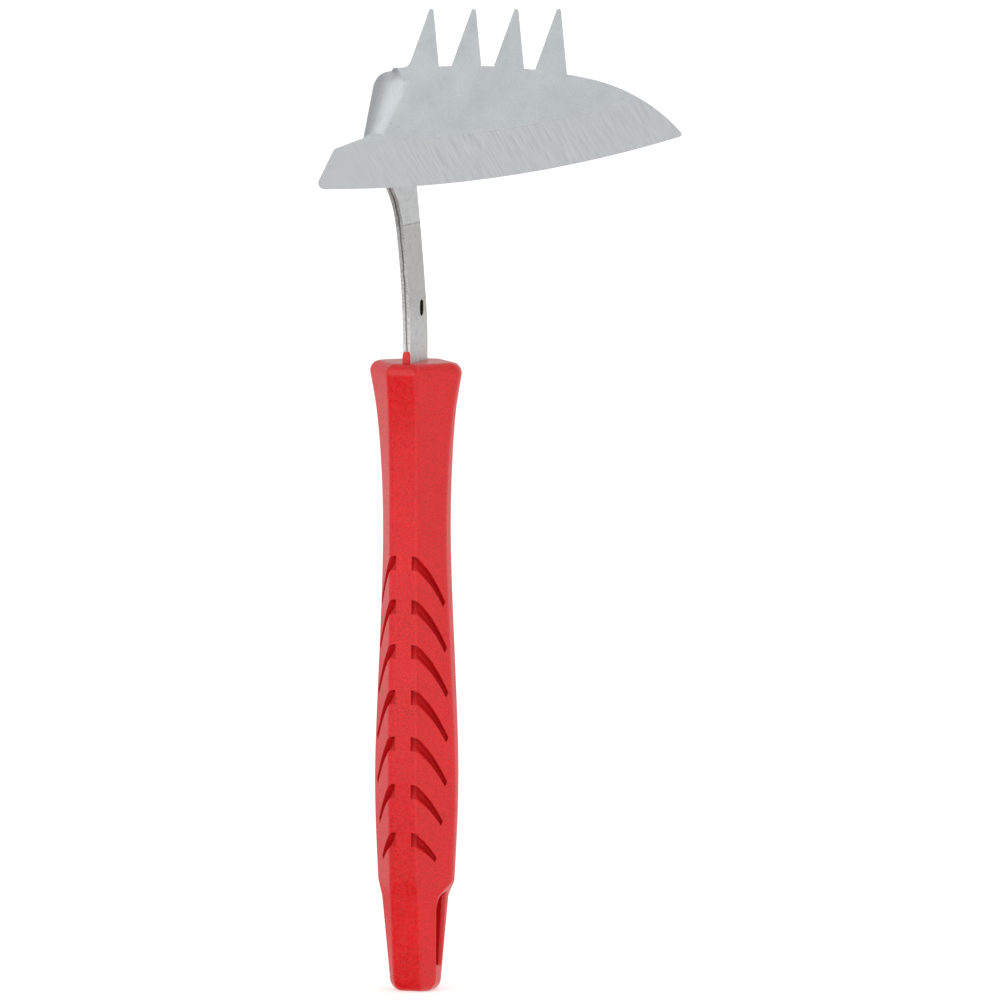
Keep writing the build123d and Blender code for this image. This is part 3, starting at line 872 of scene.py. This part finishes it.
    def dress(self, piece: bpy.types.Object) -> None:
        """Give each zone its finish.

        Args:
            piece: The head, its faces already sorted into zones.
        """
        made = {SteelZone.ROLLED: self.rolled, SteelZone.GROUND: self.ground,
                SteelZone.SHEARED: self.sheared, SteelZone.FORMED: self.formed,
                SteelZone.SCALE: self.scale, SteelZone.PUNCHED: self.punched}
        for zone in SteelZone:
            piece.data.materials.append(made[zone].make(self.blade))

    def place(self) -> bpy.types.Object:
        """Build and dress the head and tie it to the frame.

        Returns:
            The finished piece.
        """
        piece = self.build()
        self.dress(piece)
        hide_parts("steel_head")
        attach(piece, "root")
        return piece


# ---- Handle -----------------------------------------------------------------------------------
@dataclass(frozen=True)
class Girth:
    """One cross-section of the handle: a rounded octagon, the same left and right."""

    height: float
    half_width: float
    front: float
    back: float
    side_front: float
    side_back: float
    ridge_radius: float = 2.4
    side_radius: float = 3.0
    facet_half: float = 4.8

    def values(self) -> np.ndarray:
        """The section's sizes as one row, without its height."""
        return np.array([self.half_width, self.front, self.back, self.side_front, self.side_back,
                         self.ridge_radius, self.side_radius, self.facet_half])


def half_outline(row: np.ndarray) -> np.ndarray:
    """The right half of a section, from the front's middle to the back's.

    Args:
        row: Sizes in the order of Girth.values.

    Returns:
        X and Y of each point, in millimetres.
    """
    wide, front, back, side_front, side_back, ridge, side, facet = row
    corners = [(0, -front), (facet, -front), (wide, side_front), (wide, side_back), (facet, back),
               (0, back)]
    return rounded(corners, (ridge, side, side, ridge), (4, 9, 3, 9, 4), 9)


@dataclass
class MouldedHandle:
    """Grip, flared rim, shoulder, tail and butt, with claw grooves and a hanging slot."""

    length: float = 198.0
    rim_radius: float = 3.5
    shoulder: float = 34.5
    tail: float = 30.0
    butt: float = 4.2
    butt_inset: tuple[float, float, float] = (3.6, 2.6, 4.0)   # side, front, back
    soften: float = 0.8
    least_radius: float = 0.6
    finish: SparkErodedRedABS = field(default_factory=SparkErodedRedABS)
    # The grooves' red: the same plastic painted darker to stand in for the shade inside the grooves, and
    # rougher as well.
    groove_painted_shade: SparkErodedRedABS = SparkErodedRedABS(name="groove_red_abs_painted_shade", colour="#C0070E",
                                                  dark="#AE060B", light="#CE0A12", roughness=0.55,
                                                  gloss=0.3)
    grip: tuple[Girth, ...] = (
        Girth(34.5, 12.5, 10.2, 10.6, -1.6, 1.4),
        Girth(66.0, 13.6, 11.2, 12.4, -1.6, 2.1),
        Girth(91.0, 12.8, 11.0, 12.2, -1.6, 2.7),
        Girth(120.0, 11.4, 10.5, 11.6, -1.6, 2.9),
        Girth(147.0, 10.75, 10.2, 11.0, -1.6, 2.7),
        Girth(172.5, 11.9, 10.6, 11.2, -1.6, 2.1),
        Girth(185.0, 13.35, 11.4, 12.0, -1.6, 1.5),
        Girth(194.5, 15.2, 12.7, 13.2, -1.6, 1.2),
    )
    lower: tuple[Girth, Girth] = (
        Girth(4.2, 7.8, 7.3, 6.9, -3.2, 1.4, 2.2, 1.6),
        Girth(30.0, 9.4, 9.6, 9.4, -5.9, 3.9, 2.2, 1.6),
    )
    # Grooves: the first one's top corner, their spacing, then the X of each one's outer end and the fall to it
    groove_top: float = 137.7
    groove_pitch: float = 13.75
    groove_spread: float = 0.3
    groove_start: float = 4.5
    spine_half: float = 2.6
    groove_depth: float = 2.0
    groove_tip: float = 1.5          # how much less the upper edge falls than the lower one
    groove_stand_off: float = 1.6    # how far the cutter stands off the skin
    # Shares of the length and of the depth there; then depth of the lower edge's own small step
    groove_depths: tuple[Point, ...] = ((0, 0.9), (0.3, 1.05), (0.85, 1.05), (1, 0.75))
    groove_steps: tuple[Point, ...] = ((0, 0.5), (0.2, 0.3), (0.4, 0.04))
    # The wall's foot and the floor's middle: share of the way across, and share of the depth
    groove_floor: tuple[Point, Point] = ((0.03, 1.0), (0.46, 0.92))
    groove_ends: tuple[Point, ...] = ((10.8, 16.4), (11.4, 17.0), (11.9, 17.0), (12.1, 16.8),
                                      (11.9, 16.0), (10.8, 13.4), (9.2, 9.6))
    upper_edge: tuple[Point, ...] = ((0, 0), (0.15, 0.01), (0.3, 0.065), (0.42, 0.18), (0.57, 0.34),
                                     (0.8, 0.66), (1.0, 1.0))
    lower_edge: tuple[Point, ...] = ((0, 0), (0.13, 0.0), (0.25, 0.03), (0.4, 0.18), (0.57, 0.38),
                                     (0.75, 0.65), (0.94, 1.0))
    # Hanging slot: rear and front walls as Y, then heights and radii
    slot_rear: float = 0.4
    slot_front: tuple[float, float] = (-3.3, -5.9)
    slot_heights: tuple[float, float] = (8.3, 31.2)
    slot_radii: tuple[float, float, float] = (1.2, 4.6, 0.8)
    slot_rim: tuple[float, float] = (0.35, 1.3)       # rounding at the front rim and at the rear rim
    slot_clear: float = 0.04
    # Pocket that the tang fills
    tang_depth: float = 120.0
    tang_top: tuple[float, float] = (-7.9, 6.4)
    tang_foot: tuple[float, float] = (-5.5, 4.0)
    tang_half: float = 1.25
    tang_play: float = 0.06
    # Lip: height above the top face, thickness, and how much narrower than the sheet on each side
    lip_shape: tuple[tuple[float, float, float], ...] = (
        (-0.6, 0.8, 0.0), (1.6, 0.78, 0.0), (2.6, 0.68, 0.05), (3.3, 0.5, 0.18), (3.6, 0.32, 0.32))
    shade_angle: float = 32.0
    base: float = field(init=False)

    def __post_init__(self) -> None:
        """Read the butt's level from the frame."""
        self.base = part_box("handle")[0].z / MM

    def rows(self, heights: np.ndarray) -> np.ndarray:
        """The section's sizes at each height.

        Args:
            heights: Heights above the butt.

        Returns:
            One row of sizes for each height, in the order of Girth.values.
        """
        grip = spline([g.height for g in self.grip], np.array([g.values() for g in self.grip]),
                      np.clip(heights, self.shoulder, self.grip[-1].height))
        known = [self.lower[0].height, self.lower[1].height, self.shoulder]
        table = np.array([self.lower[0].values(), self.lower[1].values(), self.grip[0].values()])
        low = np.array([np.interp(heights, known, table[:, i]) for i in range(table.shape[1])]).T
        return np.where((heights < self.shoulder)[:, None], low, grip)

    def soft_rows(self, heights: np.ndarray) -> np.ndarray:
        """The same, with the shoulder's two corners softened.

        Args:
            heights: Heights above the butt.

        Returns:
            One row of sizes for each height.
        """
        steps = np.linspace(-self.soften, self.soften, 9)
        mean = sum(self.rows(heights + d) for d in steps) / len(steps)
        near = (heights > self.butt + 2) & (heights < self.shoulder + 6)
        return np.where(near[:, None], mean, self.rows(heights))

    def drawn_in(self, row: np.ndarray, side: float, front: float, back: float) -> np.ndarray:
        """A section's sizes with its outline drawn in.

        Args:
            row: Sizes in the order of Girth.values.
            side: How far the sides move in.
            front: How far the front moves in.
            back: How far the back moves in.

        Returns:
            The new row.
        """
        out = row.copy()
        out[0] -= side
        out[1] -= front
        out[2] -= back
        out[5] = max(row[5] - front, self.least_radius)
        out[6] = max(row[6] - side, self.least_radius)
        out[7] -= side / 2
        return out

    def ring(self, row: np.ndarray, height: float) -> np.ndarray:
        """One closed ring of the skin, in metres.

        Args:
            row: Sizes in the order of Girth.values.
            height: Height above the butt.

        Returns:
            One row of X, Y and Z for each point.
        """
        right = half_outline(row)
        left = right[-2:0:-1] * (-1, 1)
        flat = np.vstack([right, left])
        return np.column_stack([flat, np.full(len(flat), height + self.base)]) * MM

    def skin(self) -> bpy.types.Object:
        """The plain moulding without grooves, slot or pocket.

        Returns:
            The closed solid.
        """
        rings = []
        for a in np.radians(np.linspace(90, 0, 9)):
            inset = [d * (1 - math.cos(a)) for d in self.butt_inset]
            row = self.drawn_in(self.soft_rows(np.array([self.butt]))[0], *inset)
            rings.append(self.ring(row, self.butt * (1 - math.sin(a))))
        top = self.grip[-1].height
        heights = np.concatenate([np.arange(6, 28, 1.0), np.arange(28, 38, 0.3), np.arange(38, top, 1.0),
                                  [top]])
        for row, height in zip(self.soft_rows(heights), heights):
            rings.append(self.ring(row, height))
        for a in np.radians(np.linspace(0, 90, 11))[1:]:
            inset = self.rim_radius * (1 - math.cos(a))
            row = self.drawn_in(self.rows(np.array([top]))[0], inset, inset, inset)
            rings.append(self.ring(row, top + self.rim_radius * math.sin(a)))
        return loft("moulded_handle", rings)

    def on_front(self, x: float, height: float, out: float) -> tuple[float, float, float]:
        """A point on the handle's front right, or off it.

        Args:
            x: Distance right of the spine's middle.
            height: Height above the butt.
            out: How far to stand off the skin; below zero is inside.

        Returns:
            X, Y and height.
        """
        half = half_outline(self.soft_rows(np.array([height]))[0])
        front = half[:int(np.argmax(half[:, 0] > half[:, 0].max() - 0.01)) + 1]
        step = 0.15
        y, ahead = np.interp([x, x + step], front[:, 0], front[:, 1])
        rise = (ahead - y) / step
        size = math.hypot(1, rise)
        return x + out * rise / size, y - out / size, height

    def groove(self, index: int, side: Side) -> bpy.types.Object:
        """The cutter of one claw groove: a steep upper wall, and a floor that ramps up to the lower edge.

        Args:
            index: Which groove, counted from the top.
            side: Which side of the spine.

        Returns:
            The closed cutter.
        """
        reach, drop = self.groove_ends[index]
        top = self.groove_top - self.groove_pitch * index - self.groove_spread * index * (index - 1) / 2
        across = reach - self.spine_half
        share = np.linspace(0, 1, 22)
        upper, lower = (spline(np.linspace(0, 1, len(e)), np.array(e), share)
                        for e in (self.upper_edge, self.lower_edge))
        start, outside = self.groove_start, self.groove_stand_off
        rings = []
        for t, (ua, ub), (la, lb) in zip(share, upper, lower):
            high = (self.spine_half + ua * across, top - ub * (drop - self.groove_tip))
            low = (self.spine_half + la * across, top - start - lb * (drop - start))
            deep = self.groove_depth * float(np.interp(t, *zip(*self.groove_depths)))
            step = float(np.interp(t, *zip(*self.groove_steps)))
            ring = [self.on_front(*high, outside)]
            floor = [(place, deep * part) for place, part in self.groove_floor]
            for across_share, depth in (*floor, (1.0, step)):
                at = [a + (b - a) * across_share for a, b in zip(high, low)]
                ring.append(self.on_front(*at, -depth))
            ring.append(self.on_front(*low, outside))
            rings.append(np.array([(x * side.value, y, z + self.base) for x, y, z in ring]) * MM)
        return loft(f"groove_{index}_{side.name.lower()}", rings)

    def slot_cutter(self) -> bpy.types.Object:
        """The cutter of the hanging slot, flared at both mouths so that its rims come out rounded.

        Returns:
            The closed cutter.
        """
        low, high = self.slot_heights
        foot, crown, rear = self.slot_radii
        middle = (0.5 * (self.slot_rear + self.slot_front[0]), low)
        corners = [middle, (self.slot_rear, low), (self.slot_rear, high), (self.slot_front[1], high),
                   (self.slot_front[0], low), middle]
        path = rounded(corners, (foot, rear, crown, foot), (2, 24, 4, 20, 2), 10)[:-1]
        before, after = np.roll(path, 1, axis=0), np.roll(path, -1, axis=0)
        run = after - before
        away = np.column_stack([run[:, 1], -run[:, 0]]) / np.linalg.norm(run, axis=1)[:, None]
        share = (away[:, 0] + 1) / 2
        rim = self.slot_rim[0] + (self.slot_rim[1] - self.slot_rim[0]) * share
        mouth = []
        for a in np.radians((0, 18, 36, 54, 72, 90)):
            at = path + away * (rim * (1 - math.cos(a)))[:, None]
            skin = np.array([self.side_x(y, z) for y, z in at])
            mouth.append(np.column_stack([skin - rim * (1 - math.sin(a)) + self.slot_clear, at]))
        last = mouth[-1].copy()
        last[:, 0] += 6
        right = mouth + [last]
        rings = [ring * (-1, 1, 1) for ring in reversed(right)] + right
        return loft("hanging_slot_cutter", [(r + (0, 0, self.base)) * MM for r in rings])

    def side_x(self, y: float, height: float) -> float:
        """How far right the skin lies at a Y and a height."""
        half = half_outline(self.soft_rows(np.array([height]))[0])
        return float(np.interp(y, half[:, 1], half[:, 0]))

    def pocket(self) -> bpy.types.Object:
        """The cutter of the pocket that the tang fills.

        Returns:
            The closed cutter.
        """
        rings = []
        for depth in (-2.0, 0.0, self.tang_depth):
            share = max(depth, 0) / self.tang_depth
            front, rear = (a + (b - a) * share for a, b in zip(self.tang_top, self.tang_foot))
            x = self.tang_half + self.tang_play
            flat = [(-x, front - self.tang_play), (x, front - self.tang_play),
                    (x, rear + self.tang_play), (-x, rear + self.tang_play)]
            z = self.length - depth + self.base
            rings.append(np.array([(a, b, z) for a, b in flat]) * MM)
        return loft("tang_pocket_cutter", rings)

    def lip(self) -> bpy.types.Object:
        """The small lip of plastic that crept up the neck's front edge, thinning upwards.

        Returns:
            The closed solid.
        """
        rings = []
        for level, thick, narrow in self.lip_shape:
            x = self.tang_half - narrow
            rear, front = self.tang_top[0] + 0.02, self.tang_top[0] - thick
            flat = [(x, rear), (x, front + 0.25), (x - 0.3, front), (0.3 - x, front), (-x, front + 0.25),
                    (-x, rear)]
            z = self.length + level + self.base
            rings.append(np.array([(a, b, z) for a, b in flat]) * MM)
        return loft("lip", rings)

    def build(self) -> bpy.types.Object:
        """The whole moulding.

        Returns:
            The moulding, with its two materials: the skin's finish, and a darker, rougher red on the grooves'
                faces whose darkness is painted shade.
        """
        piece = self.skin()
        cutters = [self.groove(i, side) for i in range(len(self.groove_ends)) for side in Side]
        skin, groove_painted_shade = self.finish.make(), self.groove_painted_shade.make()
        for solid in (piece, *cutters):
            solid.data.materials.append(skin)
            solid.data.materials.append(groove_painted_shade)
        # The grooves' faces take the darker red that paints their shade.
        for cutter in cutters:
            for polygon in cutter.data.polygons:
                polygon.material_index = 1
        for group in ([self.slot_cutter()], [self.pocket()], cutters):
            cut(piece, group)
        cut(piece, [self.lip()], "UNION")
        shade(piece, self.shade_angle)
        return piece

    def place(self) -> bpy.types.Object:
        """Build and dress the handle and tie it to the frame.

        Returns:
            The finished piece.
        """
        piece = self.build()
        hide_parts("handle")
        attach(piece, "root")
        return piece


# ---- Studio -----------------------------------------------------------------------------------
@dataclass
class Studio:
    """Pale floor, white surroundings, a soft lamp and a long lens a little right of the tool's front."""

    azimuth: float = 22.0
    elevation: float = 6.0
    distance: float = 8.0
    fill: float = 0.978          # share of the frame's height that the tool takes
    sensor: float = 36.0
    floor_radius: float = 14.0
    # Brightness of the surroundings, and what two large white walls add: at the right, and at the front left
    surround: float = 0.68
    walls: tuple[tuple[Vector, float, float, float], ...] = (
        (Vector((0.9, 0.42, 0.0)), -0.2, 0.8, 0.34),
        (Vector((-0.37, -0.92, 0.2)), 0.5, 0.97, 0.62))
    shadow_side: Vector = field(default_factory=lambda: Vector((-0.45, -0.6, -0.66)))
    shadow_edge: tuple[float, float] = (0.76, 0.83)
    shadow_level: float = 0.0
    aim_above: float = 0.00068
    softbox: tuple[float, float, float, float] = (-5, 20, 1.6, 2.5)   # azimuth, elevation, side, watts
    lamp_distance: float = 1.4
    paper: PaleStudioPaper = field(default_factory=PaleStudioPaper)

    def floor(self) -> bpy.types.Object:
        """A wide disc of paper under the butt.

        Returns:
            The floor.
        """
        bm = bmesh.new()
        bmesh.ops.create_circle(bm, cap_ends=True, radius=self.floor_radius, segments=96)
        disc = solid_object("studio_floor", bm)
        disc.location.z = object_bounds()[0][2]
        disc.data.materials.append(self.paper.make())
        disc.visible_glossy = False
        disc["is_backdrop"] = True
        return disc

    def axes(self) -> tuple[Vector, Vector, Vector]:
        """The camera's right, up and backward directions.

        Returns:
            Three unit vectors.
        """
        turn, lift = math.radians(self.azimuth), math.radians(self.elevation)
        back = Vector((math.sin(turn) * math.cos(lift), -math.cos(turn) * math.cos(lift), math.sin(lift)))
        right = Vector((math.cos(turn), math.sin(turn), 0))
        return right, back.cross(right), back

    def camera(self) -> bpy.types.Object:
        """A camera that centres the tool and fills the frame with it.

        Returns:
            The camera.
        """
        right, up, back = self.axes()
        points = [v.co for node in frame["nodes"].values() for v in node.data.vertices]
        spread = [[p.dot(d) for p in points] for d in (right, up)]
        middle = [(min(s) + max(s)) / 2 for s in spread]
        height = max(spread[1]) - min(spread[1])
        data = bpy.data.cameras.new("camera")
        data.sensor_width = self.sensor
        data.lens = self.sensor * self.distance * self.fill / height
        data.clip_end = 60
        eye = bpy.data.objects.new("camera", data)
        bpy.context.scene.collection.objects.link(eye)
        spot = right * middle[0] + up * (middle[1] + self.aim_above) + back * self.distance
        turn = Matrix((right, up, back)).transposed()
        eye.matrix_world = Matrix.Translation(spot) @ turn.to_4x4()
        bpy.context.scene.camera = eye
        return eye

    def lamp(self, name: str, azimuth: float, elevation: float, size: float, power: float) -> None:
        """One soft square lamp aimed at the tool's middle.

        Args:
            name: The lamp's name.
            azimuth: Degrees round from the tool's front towards +X.
            elevation: Degrees above the horizon.
            size: Side of the lamp in metres.
            power: Watts.
        """
        low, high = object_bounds()
        middle = (Vector(low) + Vector(high)) / 2
        turn, lift = math.radians(azimuth), math.radians(elevation)
        way = Vector((math.sin(turn) * math.cos(lift), -math.cos(turn) * math.cos(lift), math.sin(lift)))
        data = bpy.data.lights.new(name, "AREA")
        data.size = size
        data.energy = power
        lamp = bpy.data.objects.new(name, data)
        bpy.context.scene.collection.objects.link(lamp)
        lamp.location = middle + way * self.lamp_distance
        lamp.rotation_euler = way.to_track_quat("Z", "Y").to_euler()

    def light(self) -> None:
        """White surroundings with two bright walls and a dark patch low at the front left, and one lamp."""
        world = bpy.data.worlds.new("white_surround")
        bpy.context.scene.world = world
        world.use_nodes = True
        tree = world.node_tree
        sky = tree.nodes["Background"]
        sky.inputs["Color"].default_value = linear("#FFFEFC")
        way = add_node(tree, "ShaderNodeTexCoord", {}, out="Generated")
        power = self.surround
        for side, start, end, gain in self.walls:
            facing = add_node(tree, "ShaderNodeVectorMath", {0: way, 1: side.normalized()}, out="Value",
                              operation="DOT_PRODUCT")
            wall = add_node(tree, "ShaderNodeMapRange",
                            {"Value": facing, "From Min": start, "From Max": end, "To Max": gain},
                            interpolation_type="SMOOTHSTEP")
            power = add_node(tree, "ShaderNodeMath", {0: power, 1: wall}, operation="ADD")
        low = add_node(tree, "ShaderNodeVectorMath", {0: way, 1: self.shadow_side.normalized()},
                       out="Value", operation="DOT_PRODUCT")
        kept = add_node(tree, "ShaderNodeMapRange", {"Value": low, "From Min": self.shadow_edge[0],
                                                     "From Max": self.shadow_edge[1], "To Min": 1.0,
                                                     "To Max": self.shadow_level},
                        interpolation_type="SMOOTHSTEP")
        power = add_node(tree, "ShaderNodeMath", {0: power, 1: kept}, operation="MULTIPLY")
        tree.links.new(power, sky.inputs["Strength"])
        self.lamp("front_softbox", *self.softbox)
        bpy.context.scene.view_settings.view_transform = "Standard"

    def build(self) -> None:
        """Floor, camera and lights."""
        self.floor()
        self.camera()
        self.light()


def main() -> None:
    """Build every piece in order."""
    logging.basicConfig(level=logging.INFO, format="%(message)s")
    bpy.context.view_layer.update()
    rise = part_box("handle")[0].z + (MouldedHandle.length + NECK_RISE) * MM
    blade = BladeFrame.from_record(frame["record"], rise)
    for piece in (SteelHead(blade).place(), MouldedHandle().place()):
        LOG.info("%s: %d faces", piece.name, len(piece.data.polygons))
    Studio().build()


if __name__ == "__main__":
    main()
